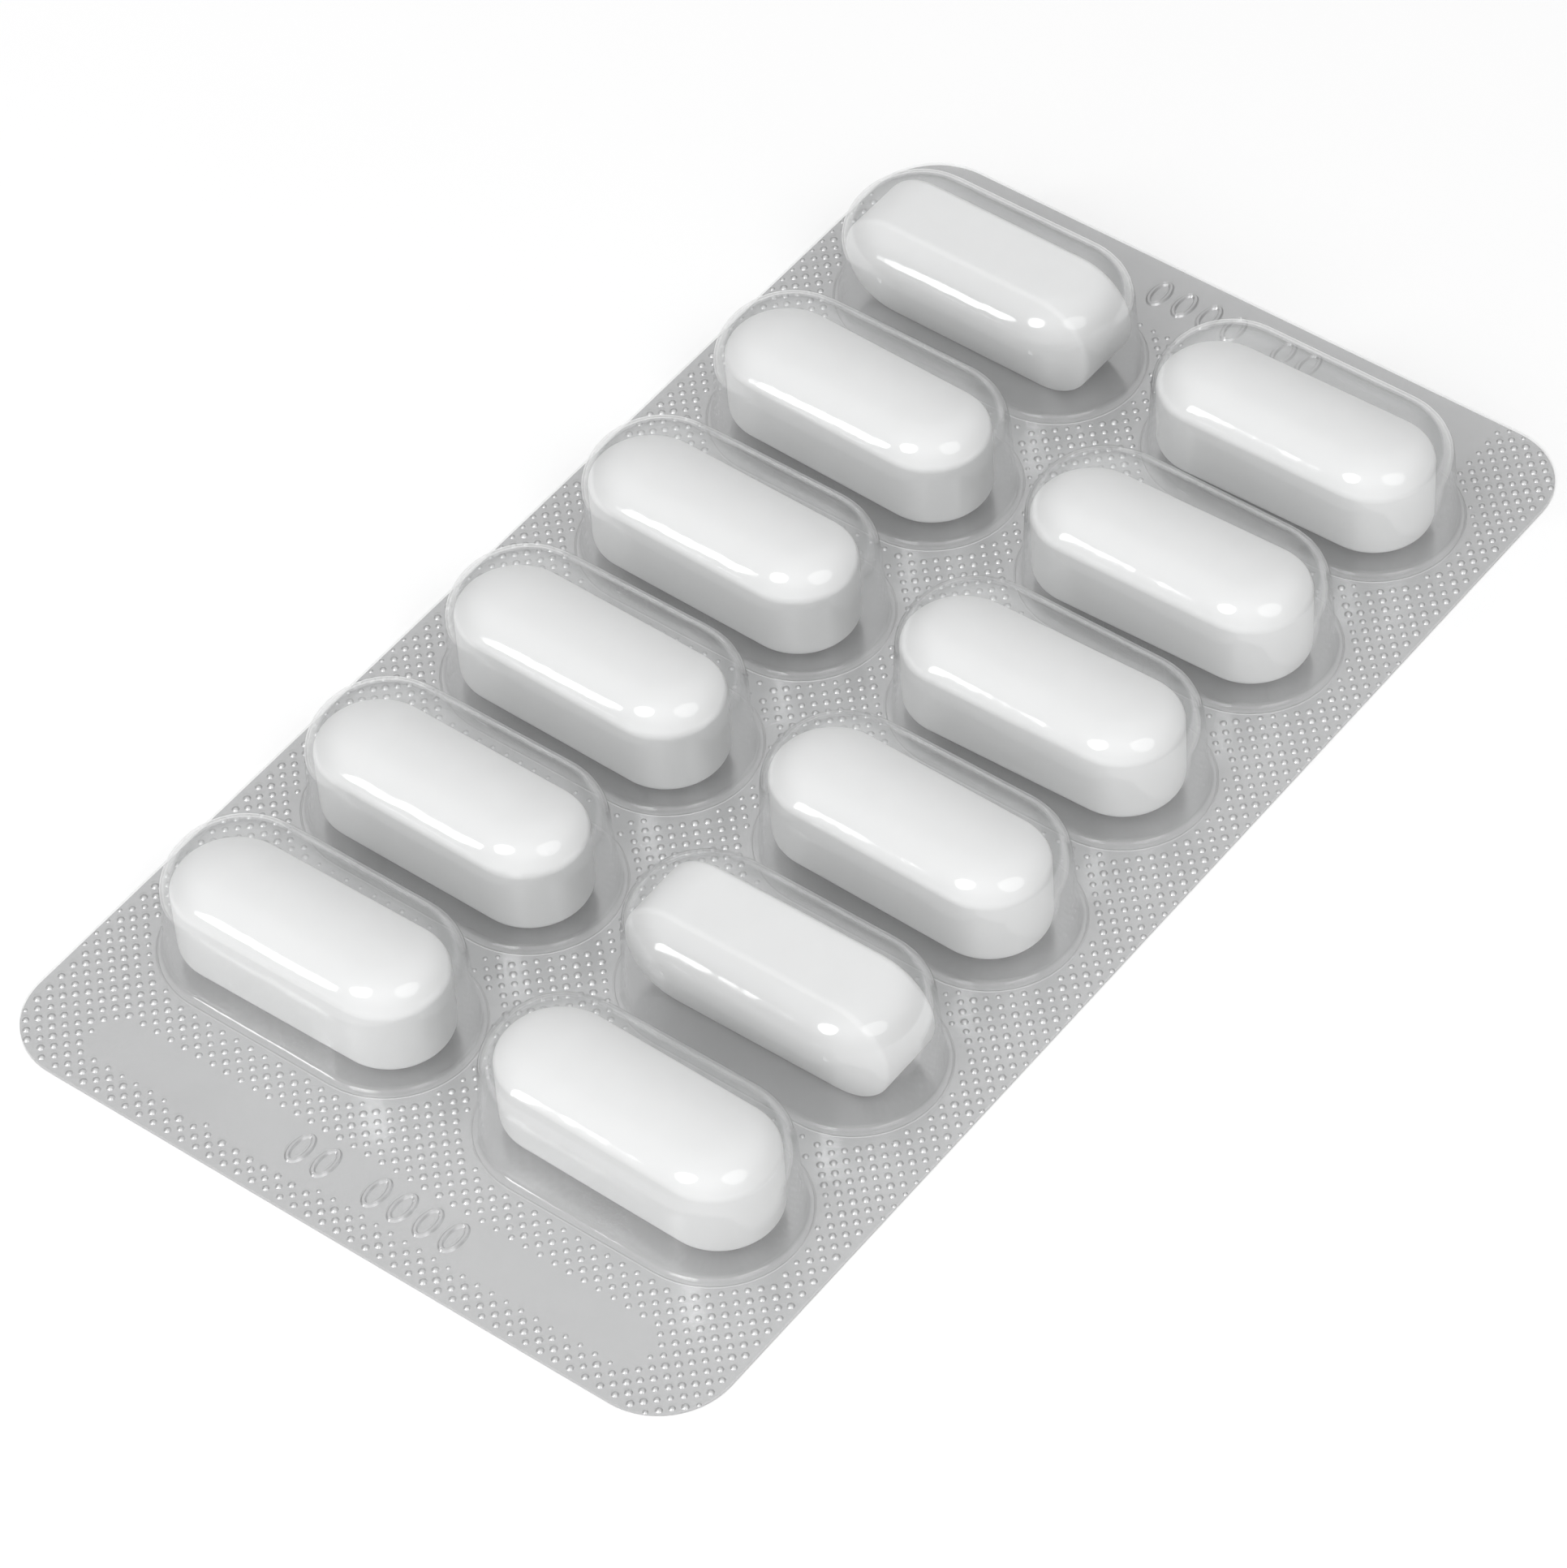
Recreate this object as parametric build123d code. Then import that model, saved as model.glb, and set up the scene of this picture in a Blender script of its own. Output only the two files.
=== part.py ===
"""Blister pack of twelve capsule-shaped tablets: forming film, lidding foil and tablets.

Frame: +Z up, origin at the centre of the pack's underside.  The foil lies on
z = 0 and the pockets stand up.  +Y runs along the pack's length, +X across it.
Units are millimetres.
"""
from build123d import *
import math
import os

# The two sheets.
FOIL_THICKNESS = 0.03
FILM_THICKNESS = 0.25
PACK_CORNER = 5.3

# One tablet: a stadium in plan, with a straight band between two domes.
TABLET_LENGTH = 20.8
TABLET_WIDTH = 8.2
BAND_HEIGHT = 5.0
DOME_HEIGHT = 1.3
DOME_EDGE = 0.5

# One pocket: its cavity clears a tablet that lies flat or on its side.  The
# side and end clearances are at the upper edge of a flat tablet's band.
SIDE_CLEARANCE = 1.05
END_CLEARANCE = 0.53
ROOF_CLEARANCE = 0.1
DRAFT = 3.0
WALL_THICKNESS = 0.15
SHOULDER_RADIUS = 3.0
FOOT_RADIUS = 0.4

# The grid of pockets, and the flat web left around and between them.
COLUMNS = 2
ROWS = 6
COLUMN_GAP = 3.1
ROW_GAP = 3.04
SIDE_MARGIN = 3.45
NEAR_MARGIN = 9.93
FAR_MARGIN = 6.23

# How the tablets lie.  All rest on the foil, and these two on their band.
REST_GAP = 0.01
ON_SIDE = (4, 11)

# Each tablet's drift in its pocket, as shares of the room it has along X and
# across it, and its turn in degrees.
DRIFT = {
    1: (0.9, -0.7, 0.5),
    2: (0.1, 0.05, -1.0),
    3: (0.9, -0.85, -0.5),
    4: (-0.9, 0.0, 0.5),
    5: (0.9, -0.9, -1.0),
    6: (-0.6, -0.5, -1.0),
    7: (-0.9, -0.9, -1.0),
    8: (-0.9, -0.65, 1.5),
    9: (0.2, -0.6, -1.5),
    10: (-0.7, -0.9, 1.5),
    11: (0.0, -0.9, -0.5),
    12: (-0.9, -0.9, 1.0),
}

# Sizes that follow.
TABLET_THICKNESS = BAND_HEIGHT + 2 * DOME_HEIGHT
WEB_TOP = FOIL_THICKNESS + FILM_THICKNESS
CAVITY_HEIGHT = max(TABLET_WIDTH, TABLET_THICKNESS) + REST_GAP + ROOF_CLEARANCE
CAVITY_TOP = FOIL_THICKNESS + CAVITY_HEIGHT
CAVITY_SHOULDER = SHOULDER_RADIUS - WALL_THICKNESS
LEAN = math.tan(math.radians(DRAFT))
TABLET_STRAIGHT = TABLET_LENGTH - TABLET_WIDTH
DOME_RADIUS = (TABLET_WIDTH**2 / 4 + DOME_HEIGHT**2) / (2 * DOME_HEIGHT)


def cavity_inset(height):
    """How far the cavity's wall, or its shoulder, stands in from the mouth at a height."""
    centre = CAVITY_HEIGHT - CAVITY_SHOULDER
    if height < centre + CAVITY_SHOULDER * math.sin(math.radians(DRAFT)):
        return height * LEAN
    middle = centre * LEAN + CAVITY_SHOULDER / math.cos(math.radians(DRAFT))
    return middle - math.sqrt(CAVITY_SHOULDER**2 - (height - centre) ** 2)


# The length also has to take the square ends of a tablet on its side, which
# reach into the cavity's round ends.
EDGE_INSET = cavity_inset(REST_GAP + DOME_HEIGHT + BAND_HEIGHT)
CAVITY_WIDTH = TABLET_WIDTH + 2 * (SIDE_CLEARANCE + EDGE_INSET)
MIDDLE_WIDTH = CAVITY_WIDTH - 2 * cavity_inset(TABLET_WIDTH / 2)
SIDE_LYING_LENGTH = TABLET_LENGTH + CAVITY_WIDTH - math.sqrt(MIDDLE_WIDTH**2 - BAND_HEIGHT**2)
CAVITY_LENGTH = max(TABLET_LENGTH + 2 * (END_CLEARANCE + EDGE_INSET), SIDE_LYING_LENGTH)
CAVITY_STRAIGHT = CAVITY_LENGTH - CAVITY_WIDTH
POCKET_LENGTH = CAVITY_LENGTH + 2 * WALL_THICKNESS
POCKET_WIDTH = CAVITY_WIDTH + 2 * WALL_THICKNESS
COLUMN_PITCH = POCKET_LENGTH + COLUMN_GAP
ROW_PITCH = POCKET_WIDTH + ROW_GAP
GRID_WIDTH = (COLUMNS - 1) * COLUMN_PITCH + POCKET_LENGTH
GRID_LENGTH = (ROWS - 1) * ROW_PITCH + POCKET_WIDTH
PACK_WIDTH = GRID_WIDTH + 2 * SIDE_MARGIN
PACK_LENGTH = GRID_LENGTH + NEAR_MARGIN + FAR_MARGIN


def pocket_centres():
    """Centres of the pockets from the near row to the far one, left before right."""
    first_x = -(COLUMNS - 1) / 2 * COLUMN_PITCH
    first_y = -PACK_LENGTH / 2 + NEAR_MARGIN + POCKET_WIDTH / 2
    for row in range(ROWS):
        for column in range(COLUMNS):
            yield first_x + column * COLUMN_PITCH, first_y + row * ROW_PITCH


def stadium_solid(section, straight):
    """Run a half cross-section, which stands in the YZ plane, round a stadium.

    The section keeps to y >= 0.  It is drawn along the straight sides and
    turned about the vertical axis at both ends.
    """
    flank = extrude(section, straight / 2, both=True)
    cap = Pos(straight / 2, 0, 0) * revolve(section, Axis.Z, -180)
    return flank + mirror(flank, Plane.XZ) + cap + mirror(cap, Plane.YZ)


def rounded_section(points, radii):
    """A face in the YZ plane from (y, z) points, its corners rounded where radii says."""
    face = make_face(Polyline(*points, close=True))
    for index, radius in radii.items():
        y, z = points[index]
        corner = face.vertices().sort_by_distance((y, z, 0))[0]
        face = fillet(corner, radius)
    return Plane.YZ * face


def pocket(flange):
    """One drawn pocket: roof, shoulder, drafted wall, flared foot and a flat flange."""
    mouth = CAVITY_WIDTH / 2
    roof = mouth - CAVITY_HEIGHT * LEAN
    outer_roof = roof + WALL_THICKNESS
    outer_top = CAVITY_TOP + WALL_THICKNESS
    foot = outer_roof + (outer_top - WEB_TOP) * LEAN
    points = [
        (0, CAVITY_TOP),
        (roof, CAVITY_TOP),
        (mouth, FOIL_THICKNESS),
        (flange, FOIL_THICKNESS),
        (flange, WEB_TOP),
        (foot, WEB_TOP),
        (outer_roof, outer_top),
        (0, outer_top),
    ]
    radii = {
        1: CAVITY_SHOULDER,
        2: FOOT_RADIUS + FILM_THICKNESS,
        5: FOOT_RADIUS,
        6: SHOULDER_RADIUS,
    }
    return stadium_solid(rounded_section(points, radii), CAVITY_STRAIGHT)


def forming_film():
    """The clear film: one flat web with a pocket drawn up over every tablet."""
    flange = POCKET_WIDTH / 2 + 2 * FOOT_RADIUS
    places = [Pos(x, y, 0) for x, y in pocket_centres()]
    opening = SlotOverall(CAVITY_STRAIGHT + 2 * flange, 2 * flange)
    outline = RectangleRounded(PACK_WIDTH, PACK_LENGTH, PACK_CORNER)
    outline = outline - [place * opening for place in places]
    web = extrude(Pos(0, 0, FOIL_THICKNESS) * outline, FILM_THICKNESS)
    one = pocket(flange)
    return (web + [place * one for place in places]).solid()


def lidding_foil():
    """The foil sealed to the film's flat side."""
    return extrude(RectangleRounded(PACK_WIDTH, PACK_LENGTH, PACK_CORNER), FOIL_THICKNESS).solid()


def tablet():
    """One tablet about its own centre, its length along X and its domes up and down."""
    half_width = TABLET_WIDTH / 2
    half_band = BAND_HEIGHT / 2
    crown = TABLET_THICKNESS / 2
    outline = [
        RadiusArc((0, crown), (half_width, half_band), DOME_RADIUS),
        Line((half_width, half_band), (half_width, -half_band)),
        RadiusArc((half_width, -half_band), (0, -crown), DOME_RADIUS),
        Line((0, -crown), (0, crown)),
    ]
    face = make_face(outline)
    rims = face.vertices().sort_by(Axis.X)[-2:]
    section = Plane.YZ * fillet(rims, DOME_EDGE)
    return stadium_solid(section, TABLET_STRAIGHT).solid()


def side_lying_room(levels=40):
    """How far a tablet on its side can shift across the cavity, at its top and its ends."""
    rooms = []
    for step in range(levels + 1):
        height = TABLET_WIDTH * step / levels
        dome = math.sqrt(DOME_RADIUS**2 - (height - TABLET_WIDTH / 2) ** 2)
        half_width = BAND_HEIGHT / 2 + dome - (DOME_RADIUS - DOME_HEIGHT)
        rooms.append(CAVITY_WIDTH / 2 - cavity_inset(REST_GAP + height) - half_width)
    overhang = (TABLET_LENGTH - CAVITY_STRAIGHT) / 2
    rooms.append(math.sqrt(MIDDLE_WIDTH**2 / 4 - overhang**2) - BAND_HEIGHT / 2)
    return min(rooms)


def drift(number):
    """A tablet's shift along and across its pocket, from its shares of the room."""
    along, across, turn = DRIFT[number]
    swing = math.sin(math.radians(abs(turn)))
    if number in ON_SIDE:
        shift = across * max(side_lying_room() - TABLET_LENGTH / 2 * swing, 0)
        half_band = BAND_HEIGHT / 2 + abs(shift) + TABLET_LENGTH / 2 * swing
        reach = math.sqrt(MIDDLE_WIDTH**2 / 4 - half_band**2) + CAVITY_STRAIGHT / 2
        return along * max(reach - TABLET_LENGTH / 2, 0), shift
    gap = SIDE_CLEARANCE - TABLET_STRAIGHT / 2 * swing
    step = (TABLET_STRAIGHT - CAVITY_STRAIGHT) / 2
    shift = across * math.sqrt(max(gap**2 - step**2, 0))
    return along * max(math.sqrt(gap**2 - shift**2) - step, 0), shift


def placed_tablet(shape, number, x, y):
    """A tablet that rests on the foil, on its dome or turned onto its band."""
    on_side = number in ON_SIDE
    half_height = (TABLET_WIDTH if on_side else TABLET_THICKNESS) / 2
    along, across = drift(number)
    place = Pos(x + along, y + across, FOIL_THICKNESS + REST_GAP + half_height)
    return place * Rot(0, 0, DRIFT[number][2]) * Rot(90 if on_side else 0, 0, 0) * shape


def main():
    os.makedirs("parts", exist_ok=True)
    export_step(forming_film(), "parts/forming_film.step")
    export_step(lidding_foil(), "parts/lidding_foil.step")
    shape = tablet()
    for number, (x, y) in enumerate(pocket_centres(), start=1):
        placed = placed_tablet(shape, number, x, y)
        export_step(placed, f"parts/tablet_{number}.step")
    print(f"pack {PACK_WIDTH:.2f} x {PACK_LENGTH:.2f}, pocket {POCKET_LENGTH:.2f} x {POCKET_WIDTH:.2f}")


main()
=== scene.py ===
"""Looks of the pill blister pack: clear forming film, knurled lidding foil and white tablets.

Everything is in metres, in the frame of the CAD model: the foil lies on z = 0, the
pockets stand up, +Y runs along the pack's length and +X across it.  The pack's
sizes are named in millimetres, and MM turns them into metres where a mesh is
made.  The stage's sizes, further down, are in metres.
"""
import math
import random

import bmesh
import bpy
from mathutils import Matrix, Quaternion, Vector, noise
from mathutils.geometry import delaunay_2d_cdt


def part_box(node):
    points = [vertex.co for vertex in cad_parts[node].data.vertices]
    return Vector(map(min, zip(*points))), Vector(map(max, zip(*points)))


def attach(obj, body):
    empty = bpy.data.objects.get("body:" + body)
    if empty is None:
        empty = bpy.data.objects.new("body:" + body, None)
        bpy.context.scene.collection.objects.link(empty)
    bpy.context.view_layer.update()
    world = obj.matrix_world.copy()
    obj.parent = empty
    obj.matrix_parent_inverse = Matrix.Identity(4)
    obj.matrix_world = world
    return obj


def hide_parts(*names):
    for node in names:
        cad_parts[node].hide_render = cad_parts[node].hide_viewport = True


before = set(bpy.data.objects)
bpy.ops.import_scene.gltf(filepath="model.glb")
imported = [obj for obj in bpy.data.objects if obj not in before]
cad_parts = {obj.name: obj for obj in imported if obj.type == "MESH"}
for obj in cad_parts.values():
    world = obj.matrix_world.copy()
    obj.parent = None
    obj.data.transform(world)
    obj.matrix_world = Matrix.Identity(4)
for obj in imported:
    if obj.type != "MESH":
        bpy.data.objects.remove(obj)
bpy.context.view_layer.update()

MM = 0.001

# The pack, from the frame.
FOIL_LOW, FOIL_HIGH = (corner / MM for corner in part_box("lidding_foil"))
FILM_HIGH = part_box("forming_film")[1] / MM
PACK_WIDTH = FOIL_HIGH.x - FOIL_LOW.x
PACK_LENGTH = FOIL_HIGH.y - FOIL_LOW.y
PACK_CORNER = 5.3
FOIL_THICKNESS = FOIL_HIGH.z
OUTER_TOP = FILM_HIGH.z

# The film: a flat web and drawn pockets, as in the CAD model, but for the gap
# that keeps its underside from sharing a plane with the foil.
WEB_THICKNESS = 0.25
WALL_THICKNESS = 0.15
SEAL_GAP = 0.004
WEB_TOP = FOIL_THICKNESS + WEB_THICKNESS
POCKET_LENGTH = 23.0
POCKET_WIDTH = 11.44
POCKET_STRAIGHT = POCKET_LENGTH - POCKET_WIDTH
DRAFT = math.radians(3.0)
SHOULDER_RADIUS = 3.0
FOOT_RADIUS = 0.4
COLUMNS = 2
ROWS = 6
COLUMN_GAP = 3.1
ROW_GAP = 3.04
NEAR_MARGIN = 9.93
COLUMN_PITCH = POCKET_LENGTH + COLUMN_GAP
ROW_PITCH = POCKET_WIDTH + ROW_GAP
FIRST_ROW = -PACK_LENGTH / 2 + NEAR_MARGIN + POCKET_WIDTH / 2

# The knurl that the sealing plate leaves: a square lattice of domes at 45 degrees.
# A dome is a rim, a ring at these shares of its radius and rise, and an apex.  The
# film's upper side shows only a share of its height.
KNURL_PITCH = 0.82
DOT_RADIUS = 0.265
DOT_HEIGHT = 0.135
DOT_SIDES = 8
DOT_RING = (0.62, 0.72)
FILM_DOT_SHARE = 0.35

# How the lattice wanders, how far single domes stray, and how their sizes differ.
KNURL_DRIFT = 0.12
DRIFT_SCALE = 0.06
DRIFT_OFFSET = Vector((9, 4, 2))
DOT_SCATTER = 0.012
DOT_GRAIN = (0.86, 1.1)

# Where the domes stop: at the pack's edge, near a pocket's foot, in the narrow
# strips between rows, in the coding band and at the far end but for its right.
# Over the last stretch, FADE, they shrink to a share of their size.
EDGE_RIM = 0.02
SMALLEST_AT_EDGE = 0.6
POCKET_CLEARANCE = 0.84
STRIP_CLEARANCE = 1.9
FAR_SMOOTH = 5.6
FAR_SMOOTH_RIGHT = 21.0
FADE = 0.5
FADED_SIZE = 0.7

# The smooth coding band at the near end.
BAND_HALF_LENGTH = 22.2
BAND_HALF_WIDTH = 1.6
BAND_INSET = 4.35
BAND_Y = -PACK_LENGTH / 2 + BAND_INSET

# The embossed zeros at both ends: what each row says and where its middle is.
CODES = (
    ("00 0000", 0.75, BAND_Y + 0.1),
    ("0000 00", 1.0, PACK_LENGTH / 2 - 2.7),
)
CODE_PITCH = 2.07
CODE_HEIGHT = 2.7
CODE_WIDTH = 1.55
CODE_SIDES = 28
STROKE = 0.42
STROKE_HEIGHT = 0.12

# The faint ridge that the forming mould's rim leaves outside each pocket's foot.
RIDGE_OUT = 0.04
RIDGE_WIDTH = 0.16
RIDGE_HEIGHT = 0.025

# Sections of a stroke and of the ridge, as shares of their width and height.
STROKE_SECTION = ((0, 0), (0.3, 1), (0.7, 1), (1, 0))
RIDGE_SECTION = ((0, 0), (0.35, 1), (0.65, 1), (1, 0))

# Edges that turn by more than this many degrees are creases: the sheets' cut
# edges, and the rims of domes and strokes beside web whose normal is this upright.
CUT_EDGE_TURN = 60
DOME_EDGE_TURN = 20
FLAT = 0.9995

# Points this near are one point, and slivers this thin are dropped.
WELD = 0.0005
SLIVER = 0.0001

# The share of light that each skin of the film scatters, and its gloss: head on,
# what grazing sight adds, and how late that comes.
FILM_HAZE = 0.06
HEAD_ON_GLOSS = 0.045
GRAZING_GLOSS = 0.85
GRAZING_POWER = 4.5

# How finely the film is drawn.
ARC_STEPS = 22
SIDE_STEPS = 8
CORNER_STEPS = 14
SHOULDER_STEPS = 12
FOOT_STEPS = 5
ROOF_RINGS = 3

RANDOM = random.Random(12)


# ---------------------------------------------------------------- outlines

def stadium(straight, radius, arc_steps=ARC_STEPS, side_steps=SIDE_STEPS):
    """Points of a stadium about the origin, counter-clockwise, its length along X."""
    points = []
    for side in (1, -1):
        for step in range(arc_steps + 1):
            angle = math.pi * (step / arc_steps - 0.5)
            x = straight / 2 + radius * math.cos(angle)
            points.append((side * x, side * radius * math.sin(angle)))
        for step in range(1, side_steps):
            x = straight / 2 - straight * step / side_steps
            points.append((side * x, side * radius))
    return points


def rounded_rectangle(width, length, radius):
    """Points of a rectangle with round corners about the origin, counter-clockwise."""
    points = []
    for corner in range(4):
        turn = corner * math.pi / 2
        cx = (width / 2 - radius) * (1 if corner in (0, 3) else -1)
        cy = (length / 2 - radius) * (1 if corner in (0, 1) else -1)
        for step in range(CORNER_STEPS + 1):
            angle = turn + math.pi / 2 * step / CORNER_STEPS
            points.append((cx + radius * math.cos(angle), cy + radius * math.sin(angle)))
    return points


def oval(centre, half_width, half_height, sides):
    """Points of an ellipse, counter-clockwise."""
    angles = [math.tau * step / sides for step in range(sides)]
    return [(centre[0] + half_width * math.cos(a), centre[1] + half_height * math.sin(a)) for a in angles]


def moved(points, centre):
    """The same points about another centre."""
    return [(x + centre[0], y + centre[1]) for x, y in points]


def rounded_profile(points, radii, steps):
    """A polyline through 2D points, with an arc at each corner that radii names."""
    path = []
    for index, point in enumerate(points):
        corner = Vector(point)
        if index not in radii:
            path.append(corner)
            continue
        radius = radii[index]
        back = (Vector(points[index - 1]) - corner).normalized()
        onward = (Vector(points[index + 1]) - corner).normalized()
        half = back.angle(onward) / 2
        centre = corner + (back + onward).normalized() * radius / math.sin(half)
        start = corner + back * radius / math.tan(half) - centre
        stop = corner + onward * radius / math.tan(half) - centre
        for step in range(steps[index] + 1):
            spoke = start.lerp(stop, step / steps[index])
            path.append(centre + spoke.normalized() * radius)
    return path


# ---------------------------------------------------------------- places

def pocket_centres():
    """Centres of the pockets from the near row to the far one, left before right."""
    for row in range(ROWS):
        for column in range(COLUMNS):
            yield (column - (COLUMNS - 1) / 2) * COLUMN_PITCH, FIRST_ROW + row * ROW_PITCH


def pocket_distances(x, y):
    """Distances from a point to the feet of the nearest pocket and of the next in its column."""
    found = []
    for cx, cy in pocket_centres():
        along = max(abs(x - cx) - POCKET_STRAIGHT / 2, 0)
        found.append((math.hypot(along, y - cy) - POCKET_WIDTH / 2, cx))
    near, column = min(found)
    second = sorted(distance for distance, cx in found if cx == column)[1]
    return near, second


def edge_distance(x, y):
    """Distance from a point inside the pack to its edge."""
    dx = PACK_WIDTH / 2 - abs(x)
    dy = PACK_LENGTH / 2 - abs(y)
    if dx < PACK_CORNER and dy < PACK_CORNER:
        return PACK_CORNER - math.hypot(PACK_CORNER - dx, PACK_CORNER - dy)
    return min(dx, dy)


def band_distance(x, y):
    """Distance from a point to the smooth coding band, negative inside it."""
    along = max(abs(x) - BAND_HALF_LENGTH + BAND_HALF_WIDTH, 0)
    return math.hypot(along, y - BAND_Y) - BAND_HALF_WIDTH


def far_band_distance(x, y):
    """Distance from a point to the smooth band at the far end, negative inside it."""
    return max(PACK_LENGTH / 2 - FAR_SMOOTH - y, x - FAR_SMOOTH_RIGHT)


def smooth_step(value):
    """Eases from 0 to 1."""
    value = min(max(value, 0), 1)
    return value * value * (3 - 2 * value)


def knurl_dots():
    """Each dome of the knurl as (x, y, size), where the sealing plate reaches."""
    step = KNURL_PITCH / math.sqrt(2)
    rows = int(PACK_LENGTH / 2 / step)
    columns = int(PACK_WIDTH / 4 / step) + 1
    dots = []
    for row in range(-rows, rows + 1):
        for column in range(-columns, columns + 1):
            x = (2 * column + row % 2) * step
            y = row * step
            place = Vector((x, y, 0)) * DRIFT_SCALE
            x += KNURL_DRIFT * noise.noise(place) + RANDOM.uniform(-1, 1) * DOT_SCATTER
            y += KNURL_DRIFT * noise.noise(place + DRIFT_OFFSET) + RANDOM.uniform(-1, 1) * DOT_SCATTER
            grain = RANDOM.uniform(*DOT_GRAIN)
            if abs(x) > PACK_WIDTH / 2 or abs(y) > PACK_LENGTH / 2:
                continue
            near, second = pocket_distances(x, y)
            clear = min(
                near - POCKET_CLEARANCE,
                second - STRIP_CLEARANCE,
                band_distance(x, y) - DOT_RADIUS,
                far_band_distance(x, y) - DOT_RADIUS,
            )
            room = (edge_distance(x, y) - EDGE_RIM) / DOT_RADIUS
            if clear > 0 and room > SMALLEST_AT_EDGE:
                size = grain * (FADED_SIZE + (1 - FADED_SIZE) * smooth_step(clear / FADE))
                dots.append((x, y, min(room, size)))
    return dots


# ---------------------------------------------------------------- meshes

class Shell:
    """Collects points in millimetres and faces, and makes one object of them."""

    def __init__(self):
        self.points = []
        self.faces = []

    def add_ring(self, ring):
        """Adds (x, y, z) points and returns their numbers."""
        first = len(self.points)
        self.points.extend(ring)
        return list(range(first, len(self.points)))

    def join(self, lower, upper):
        """Joins two closed rings of the same count by quads."""
        count = len(lower)
        for k in range(count):
            after = (k + 1) % count
            self.faces.append((lower[k], lower[after], upper[after], upper[k]))

    def fan(self, ring, apex):
        """Joins a closed ring to one point by triangles."""
        count = len(ring)
        for k in range(count):
            self.faces.append((ring[k], ring[(k + 1) % count], apex))

    def make(self, name):
        """Makes the object, with its points welded and its normals outwards."""
        mesh = bpy.data.meshes.new(name)
        mesh.from_pydata([(x * MM, y * MM, z * MM) for x, y, z in self.points], [], self.faces)
        work = bmesh.new()
        work.from_mesh(mesh)
        bmesh.ops.remove_doubles(work, verts=work.verts, dist=WELD * MM)
        bmesh.ops.dissolve_degenerate(work, edges=work.edges, dist=SLIVER * MM)
        bmesh.ops.recalc_face_normals(work, faces=work.faces)
        mark_creases(work)
        work.to_mesh(mesh)
        work.free()
        made = bpy.data.objects.new(name, mesh)
        bpy.context.collection.objects.link(made)
        return made


def mark_creases(work):
    """Smooth shading, but for cut edges and where a dome or a stroke leaves the flat web."""
    for face in work.faces:
        face.smooth = True
    for edge in work.edges:
        turn = math.degrees(edge.calc_face_angle(0))
        beside_flat = any(abs(face.normal.z) > FLAT for face in edge.link_faces)
        edge.smooth = turn < CUT_EDGE_TURN and not (beside_flat and turn > DOME_EDGE_TURN)


class WebPlan:
    """The web seen from above, cut into triangles round pockets, domes and strokes."""

    def __init__(self):
        self.points = []
        self.edges = []
        self.lift = []
        self.owner = []

    def add_loop(self, points, owner=None, lift=0.0):
        """Adds a closed outline, with what it belongs to and its height above the web."""
        first = len(self.points)
        count = len(points)
        self.points.extend(Vector(p) for p in points)
        self.edges.extend((first + k, first + (k + 1) % count) for k in range(count))
        self.lift.extend([lift] * count)
        self.owner.extend([owner] * count)

    def cut(self):
        """Triangulates, and keeps for each triangle its points and the loop it fills."""
        found = delaunay_2d_cdt(self.points, self.edges, [], 1, 1e-6)
        spots, _, faces, origins = found[:4]
        owner = [self.owner[origin[0]] if origin else None for origin in origins]
        self.spots = [(spot.x, spot.y) for spot in spots]
        self.spot_lift = [self.lift[origin[0]] if origin else 0.0 for origin in origins]
        self.triangles = []
        for face in faces:
            owners = {owner[corner] for corner in face}
            fills = owners.pop() if len(owners) == 1 else None
            self.triangles.append((tuple(face), fills))


def dot_ring(x, y, radius):
    """A dome's outline."""
    return oval((x, y), radius, radius, DOT_SIDES)


def web_plan(dots):
    """The plan that the film's web and the foil share."""
    plan = WebPlan()
    plan.add_loop(rounded_rectangle(PACK_WIDTH, PACK_LENGTH, PACK_CORNER))
    foot = POCKET_WIDTH / 2 + FOOT_RADIUS * math.tan(math.pi / 4 - DRAFT / 2)
    for number, centre in enumerate(pocket_centres()):
        plan.add_loop(moved(stadium(POCKET_STRAIGHT, foot), centre), ("pocket", number))
        for share, height in RIDGE_SECTION:
            ring = stadium(POCKET_STRAIGHT, foot + RIDGE_OUT + share * RIDGE_WIDTH)
            plan.add_loop(moved(ring, centre), None, height * RIDGE_HEIGHT)
    for number, (x, y, size) in enumerate(dots):
        plan.add_loop(dot_ring(x, y, DOT_RADIUS * size), ("dot", number))
    for centre in code_places():
        for share, height in STROKE_SECTION:
            half_width = CODE_WIDTH / 2 - share * STROKE
            half_height = CODE_HEIGHT / 2 - share * STROKE
            ring = oval(centre, half_width, half_height, CODE_SIDES)
            plan.add_loop(ring, None, height * STROKE_HEIGHT)
    plan.cut()
    return plan


def code_places():
    """Centres of the embossed zeros at the near and the far end."""
    for code, middle, y in CODES:
        start = middle - CODE_PITCH * (len(code) - 1) / 2
        for place, mark in enumerate(code):
            if mark != " ":
                yield start + place * CODE_PITCH, y


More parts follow.
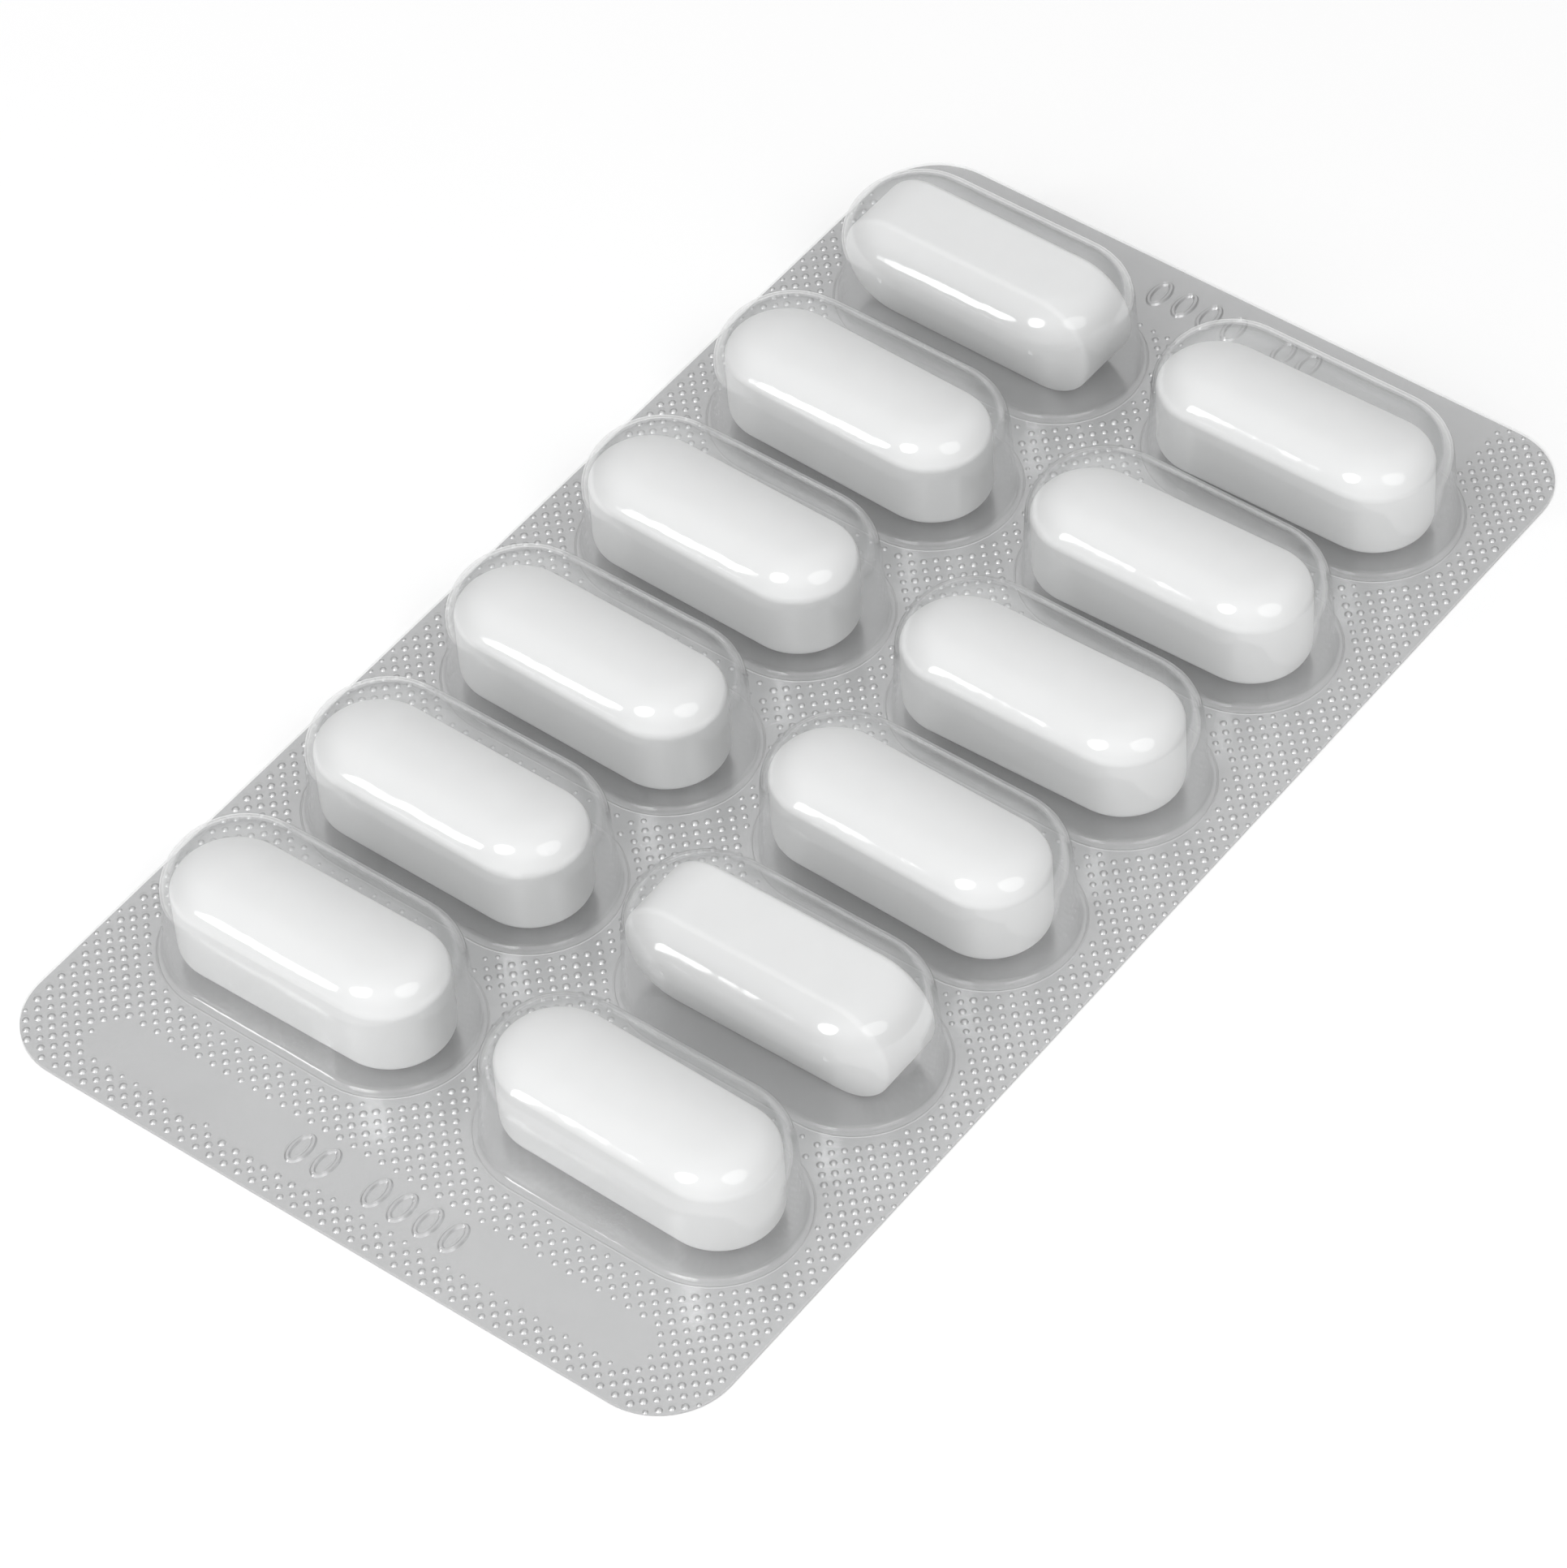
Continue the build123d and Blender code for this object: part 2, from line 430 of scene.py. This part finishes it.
def lay_web(shell, plan, dots, level, dot_height, open_pockets, domed=True):
    """Adds the web's surface at a level, with domes or cones, strokes and ridges."""
    first = len(shell.points)
    for (x, y), lift in zip(plan.spots, plan.spot_lift):
        shell.points.append((x, y, level + lift))
    for face, fills in plan.triangles:
        if fills is not None and fills[0] == "dot":
            continue
        if fills is not None and fills[0] == "pocket" and open_pockets:
            continue
        shell.faces.append(tuple(first + corner for corner in face))
    for x, y, size in dots:
        rise = dot_height * size
        radius = DOT_RADIUS * size
        rim = shell.add_ring([(px, py, level) for px, py in dot_ring(x, y, radius)])
        if domed:
            waist = dot_ring(x, y, radius * DOT_RING[0])
            inner = shell.add_ring([(px, py, level + rise * DOT_RING[1]) for px, py in waist])
            shell.join(rim, inner)
            rim = inner
        apex = shell.add_ring([(x, y, level + rise)])[0]
        shell.fan(rim, apex)


def skirt(shell, outline, low, high):
    """Adds the sheet's cut edge."""
    lower = shell.add_ring([(x, y, low) for x, y in outline])
    upper = shell.add_ring([(x, y, high) for x, y in outline])
    shell.join(lower, upper)


def draw_pocket(shell, centre, profile):
    """Adds the surface that a profile of (radius, height) sweeps round a stadium."""
    below = None
    for radius, height in profile:
        ring = moved(stadium(POCKET_STRAIGHT, radius), centre)
        numbers = shell.add_ring([(x, y, height) for x, y in ring])
        if below:
            shell.join(below, numbers)
        below = numbers


def pocket_profile(foot, base, top, foot_radius, shoulder_radius):
    """From the web up the drafted wall and over the shoulder to the roof's middle."""
    roof = foot - (top - base) * math.tan(DRAFT)
    points = [(foot + 2 * foot_radius, base), (foot, base), (roof, top), (0, top)]
    radii = {1: foot_radius, 2: shoulder_radius}
    steps = {1: FOOT_STEPS, 2: SHOULDER_STEPS}
    path = rounded_profile(points, radii, steps)[1:]
    middle = path.pop()
    inner = path[-1].x
    for ring in range(1, ROOF_RINGS):
        path.append(Vector((inner * (1 - ring / ROOF_RINGS), top)))
    path.append(middle)
    return path


# ---------------------------------------------------------------- materials

def new_material(name):
    """An empty node material, and a function that adds a node with its inputs."""
    material = bpy.data.materials.new(name)
    material.use_nodes = True
    tree = material.node_tree
    tree.nodes.clear()

    def add(kind, inputs=None, **settings):
        node = tree.nodes.new("ShaderNode" + kind)
        for key, value in settings.items():
            setattr(node, key, value)
        for key, value in (inputs or {}).items():
            if isinstance(value, bpy.types.NodeSocket):
                tree.links.new(value, node.inputs[key])
            else:
                node.inputs[key].default_value = value
        return node

    return material, add


def film_material():
    """Clear PVC: seen through with a slight haze, and glossier towards grazing sight."""
    material, add = new_material("clear_film")
    place = add("NewGeometry")
    swell = add("TexNoise", {"Vector": place.outputs["Position"], "Scale": 260, "Detail": 1.5})
    fine = add("TexNoise", {"Vector": place.outputs["Position"], "Scale": 1500, "Detail": 2})
    ripple = add("Bump", {"Height": swell.outputs["Fac"], "Strength": 0.06, "Distance": 0.001})
    skin = add("Bump", {
        "Height": fine.outputs["Fac"], "Strength": 0.02, "Distance": 0.0002,
        "Normal": ripple.outputs["Normal"]})
    facing = add("LayerWeight", {"Blend": 0.5, "Normal": skin.outputs["Normal"]})
    power = add("Math", {0: facing.outputs["Facing"], 1: GRAZING_POWER}, operation="POWER")
    schlick = add("Math", {
        0: power.outputs[0], 1: GRAZING_GLOSS, 2: HEAD_ON_GLOSS}, operation="MULTIPLY_ADD")
    clear = add("BsdfTransparent", {"Color": (0.995, 0.997, 0.997, 1)})
    haze = add("BsdfDiffuse", {"Color": (0.95, 0.95, 0.95, 1)})
    milky = add("MixShader", {0: FILM_HAZE, 1: clear.outputs[0], 2: haze.outputs[0]})
    gloss = add("BsdfGlossy", {
        "Color": (1, 1, 1, 1), "Roughness": 0.09, "Normal": skin.outputs["Normal"]})
    both = add("MixShader", {0: schlick.outputs[0], 1: milky.outputs[0], 2: gloss.outputs[0]})
    add("OutputMaterial", {"Surface": both.outputs[0]})
    return material


def foil_material():
    """Lacquered aluminium, soft in gloss, with faint rolling lines and cloudy patches."""
    material, add = new_material("aluminium_foil")
    place = add("NewGeometry").outputs["Position"]
    cloud = add("TexNoise", {"Vector": place, "Scale": 90, "Detail": 3, "Roughness": 0.6})
    along = add("Mapping", {"Vector": place, "Scale": (900, 9000, 900)})
    lines = add("TexNoise", {"Vector": along.outputs[0], "Scale": 1, "Detail": 3})
    tone = add("Mix", {
        "Factor": cloud.outputs["Fac"],
        "A": (0.515, 0.515, 0.517, 1), "B": (0.605, 0.605, 0.607, 1)}, data_type="RGBA")
    rough = add("MapRange", {"Value": cloud.outputs["Fac"], "To Min": 0.17, "To Max": 0.26})
    dents = add("Bump", {"Height": cloud.outputs["Fac"], "Strength": 0.08, "Distance": 0.0004})
    grain = add("Bump", {
        "Height": lines.outputs["Fac"], "Strength": 0.12, "Distance": 0.00004,
        "Normal": dents.outputs["Normal"]})
    metal = add("BsdfPrincipled", {
        "Base Color": tone.outputs["Result"], "Metallic": 0.62,
        "Roughness": rough.outputs["Result"], "Normal": grain.outputs["Normal"]})
    add("OutputMaterial", {"Surface": metal.outputs[0]})
    return material


def tablet_material():
    """White film coating: satin, with a fine orange peel and the faintest mottle."""
    material, add = new_material("tablet_coating")
    place = add("NewGeometry").outputs["Position"]
    mottle = add("TexNoise", {"Vector": place, "Scale": 420, "Detail": 4, "Roughness": 0.6})
    peel = add("TexNoise", {"Vector": place, "Scale": 2600, "Detail": 2})
    tone = add("Mix", {
        "Factor": mottle.outputs["Fac"],
        "A": (0.77, 0.77, 0.77, 1), "B": (0.8, 0.8, 0.8, 1)}, data_type="RGBA")
    rough = add("MapRange", {"Value": mottle.outputs["Fac"], "To Min": 0.48, "To Max": 0.6})
    bump = add("Bump", {"Height": peel.outputs["Fac"], "Strength": 0.12, "Distance": 0.00006})
    coat = add("BsdfPrincipled", {
        "Base Color": tone.outputs["Result"], "Roughness": rough.outputs["Result"],
        "Specular IOR Level": 0.3, "Normal": bump.outputs["Normal"]})
    add("OutputMaterial", {"Surface": coat.outputs[0]})
    return material


def floor_material():
    """Pale matt paper."""
    material, add = new_material("pale_floor")
    place = add("NewGeometry").outputs["Position"]
    grain = add("TexNoise", {"Vector": place, "Scale": 60, "Detail": 2})
    tone = add("Mix", {
        "Factor": grain.outputs["Fac"],
        "A": (0.96, 0.96, 0.96, 1), "B": (0.97, 0.97, 0.97, 1)}, data_type="RGBA")
    paper = add("BsdfDiffuse", {"Color": tone.outputs["Result"]})
    add("OutputMaterial", {"Surface": paper.outputs[0]})
    return material


def dress(piece, material):
    """Gives a piece its one material."""
    piece.data.materials.clear()
    piece.data.materials.append(material)


# ---------------------------------------------------------------- pieces

def make_film(plan, dots):
    """The clear film: web with its knurl above, pockets with an outer and an inner skin."""
    shell = Shell()
    outline = rounded_rectangle(PACK_WIDTH, PACK_LENGTH, PACK_CORNER)
    underside = FOIL_THICKNESS + SEAL_GAP
    lay_web(shell, plan, dots, WEB_TOP, DOT_HEIGHT * FILM_DOT_SHARE, open_pockets=True)
    outer_foot = POCKET_WIDTH / 2
    outer = pocket_profile(outer_foot, WEB_TOP, OUTER_TOP, FOOT_RADIUS, SHOULDER_RADIUS)
    inner_top = OUTER_TOP - WALL_THICKNESS
    inner_foot = outer_foot - WALL_THICKNESS + (WEB_TOP - underside) * math.tan(DRAFT)
    inner = pocket_profile(
        inner_foot, underside, inner_top, FOOT_RADIUS + WEB_THICKNESS, SHOULDER_RADIUS - WALL_THICKNESS)
    below = WebPlan()
    below.add_loop(outline)
    for number, centre in enumerate(pocket_centres()):
        draw_pocket(shell, centre, outer)
        draw_pocket(shell, centre, inner)
        below.add_loop(moved(stadium(POCKET_STRAIGHT, inner[0].x), centre), ("pocket", number))
    below.cut()
    lay_web(shell, below, [], underside, 0, open_pockets=True)
    skirt(shell, outline, underside, WEB_TOP)
    return shell.make("film")


def make_foil(plan, dots):
    """The lidding foil: the knurl stands up into the film and leaves pits underneath."""
    shell = Shell()
    outline = rounded_rectangle(PACK_WIDTH, PACK_LENGTH, PACK_CORNER)
    lay_web(shell, plan, dots, FOIL_THICKNESS, DOT_HEIGHT, open_pockets=False)
    lay_web(shell, plan, dots, 0, DOT_HEIGHT, open_pockets=False, domed=False)
    skirt(shell, outline, 0, FOIL_THICKNESS)
    return shell.make("foil")


def build_pieces():
    """Makes the film and the foil, and finishes them and the CAD tablets."""
    dots = knurl_dots()
    plan = web_plan(dots)
    film = make_film(plan, dots)
    foil = make_foil(plan, dots)
    dress(film, film_material())
    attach(film, "root")
    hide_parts("forming_film")
    dress(foil, foil_material())
    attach(foil, "root")
    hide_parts("lidding_foil")
    coating = tablet_material()
    for name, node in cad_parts.items():
        if name.startswith("tablet_"):
            dress(node, coating)


# ---------------------------------------------------------------- stage

# The camera: a long lens that looks down at the pack from the near right.
CAMERA_PLACE = Vector((0.2016, -0.2387, 0.3445))
CAMERA_AIM = Vector((-0.43376, 0.50753, -0.74449))
CAMERA_ROLL = math.radians(-4.308)
CAMERA_LENS = 162.65
CAMERA_SENSOR = 36.0
CAMERA_CLIP = (0.01, 20)

# The tent's brightness from the horizon up, by its direction's height, and the
# glow that its near side adds.
TENT = {"From Min": 0.3, "From Max": 1.0, "To Min": 0.1, "To Max": 1.15}
NEAR_SIDE = (0.42, -0.907, 0.0)
NEAR_GLOW = 0.85

# The softboxes: azimuth from +X towards +Y and elevation in degrees, size in
# metres and radiance.
SOFTBOX_DISTANCE = 0.7
SOFTBOXES = {
    "streak_light": (-122, 28, (0.08, 0.24), 7.5),
    "corner_light": (-95, 52, (0.26, 0.31), 5.0),
    "right_light": (-14, 50, (0.34, 0.42), 1.2),
}

# The floor lies just under the foil, clear of its underside.
FLOOR_HALF = 1.5
FLOOR_Z = -0.00003

# How many skins of film a ray may pass, and the picture's exposure.
FILM_SKINS = 32
EXPOSURE = -0.08


def make_camera():
    """Places and aims the camera."""
    data = bpy.data.cameras.new("camera")
    data.lens = CAMERA_LENS
    data.sensor_width = CAMERA_SENSOR
    data.clip_start, data.clip_end = CAMERA_CLIP
    camera = bpy.data.objects.new("camera", data)
    camera.location = CAMERA_PLACE
    level = CAMERA_AIM.to_track_quat("-Z", "Y")
    camera.rotation_euler = (level @ Quaternion((0, 0, 1), CAMERA_ROLL)).to_euler()
    bpy.context.collection.objects.link(camera)
    bpy.context.scene.camera = camera


def make_softbox(name, azimuth, elevation, size, radiance):
    """An oval light that looks at the origin."""
    data = bpy.data.lights.new(name, "AREA")
    data.shape = "ELLIPSE"
    data.size, data.size_y = size
    area = math.pi / 4 * size[0] * size[1]
    data.energy = radiance * math.pi * area
    light = bpy.data.objects.new(name, data)
    turn = math.radians(azimuth)
    rise = math.radians(elevation)
    out = Vector((math.cos(turn) * math.cos(rise), math.sin(turn) * math.cos(rise), math.sin(rise)))
    light.location = out * SOFTBOX_DISTANCE
    light.rotation_euler = out.to_track_quat("Z", "Y").to_euler()
    bpy.context.collection.objects.link(light)


def make_world():
    """A white tent: bright overhead, dimmer towards the horizon and brighter on the near side."""
    world = bpy.data.worlds.new("studio")
    world.use_nodes = True
    tree = world.node_tree
    sight = tree.nodes.new("ShaderNodeTexCoord")
    parts = tree.nodes.new("ShaderNodeSeparateXYZ")
    rise = tree.nodes.new("ShaderNodeMapRange")
    rise.interpolation_type = "SMOOTHSTEP"
    for name, value in TENT.items():
        rise.inputs[name].default_value = value
    along = tree.nodes.new("ShaderNodeVectorMath")
    along.operation = "DOT_PRODUCT"
    along.inputs[1].default_value = NEAR_SIDE
    glow = tree.nodes.new("ShaderNodeMapRange")
    glow.inputs["To Max"].default_value = NEAR_GLOW
    total = tree.nodes.new("ShaderNodeMath")
    tree.links.new(sight.outputs["Generated"], parts.inputs["Vector"])
    tree.links.new(sight.outputs["Generated"], along.inputs[0])
    tree.links.new(parts.outputs["Z"], rise.inputs["Value"])
    tree.links.new(along.outputs["Value"], glow.inputs["Value"])
    tree.links.new(rise.outputs["Result"], total.inputs[0])
    tree.links.new(glow.outputs["Result"], total.inputs[1])
    tree.links.new(total.outputs[0], tree.nodes["Background"].inputs["Strength"])
    tree.nodes["Background"].inputs["Color"].default_value = (1, 1, 1, 1)
    bpy.context.scene.world = world


def make_floor():
    """The pale floor that the pack lies on."""
    signs = ((-1, -1), (1, -1), (1, 1), (-1, 1))
    corners = [(x * FLOOR_HALF, y * FLOOR_HALF, FLOOR_Z) for x, y in signs]
    mesh = bpy.data.meshes.new("floor")
    mesh.from_pydata(corners, [], [(0, 1, 2, 3)])
    floor = bpy.data.objects.new("floor", mesh)
    bpy.context.collection.objects.link(floor)
    dress(floor, floor_material())


def set_view():
    """Plain colour, and enough transparent bounces for the pockets' many skins."""
    scene = bpy.context.scene
    scene.view_settings.view_transform = "Standard"
    scene.view_settings.look = "None"
    scene.view_settings.exposure = EXPOSURE
    scene.cycles.transparent_max_bounces = FILM_SKINS


build_pieces()
make_camera()
make_floor()
make_world()
for light_name, settings in SOFTBOXES.items():
    make_softbox(light_name, *settings)
set_view()
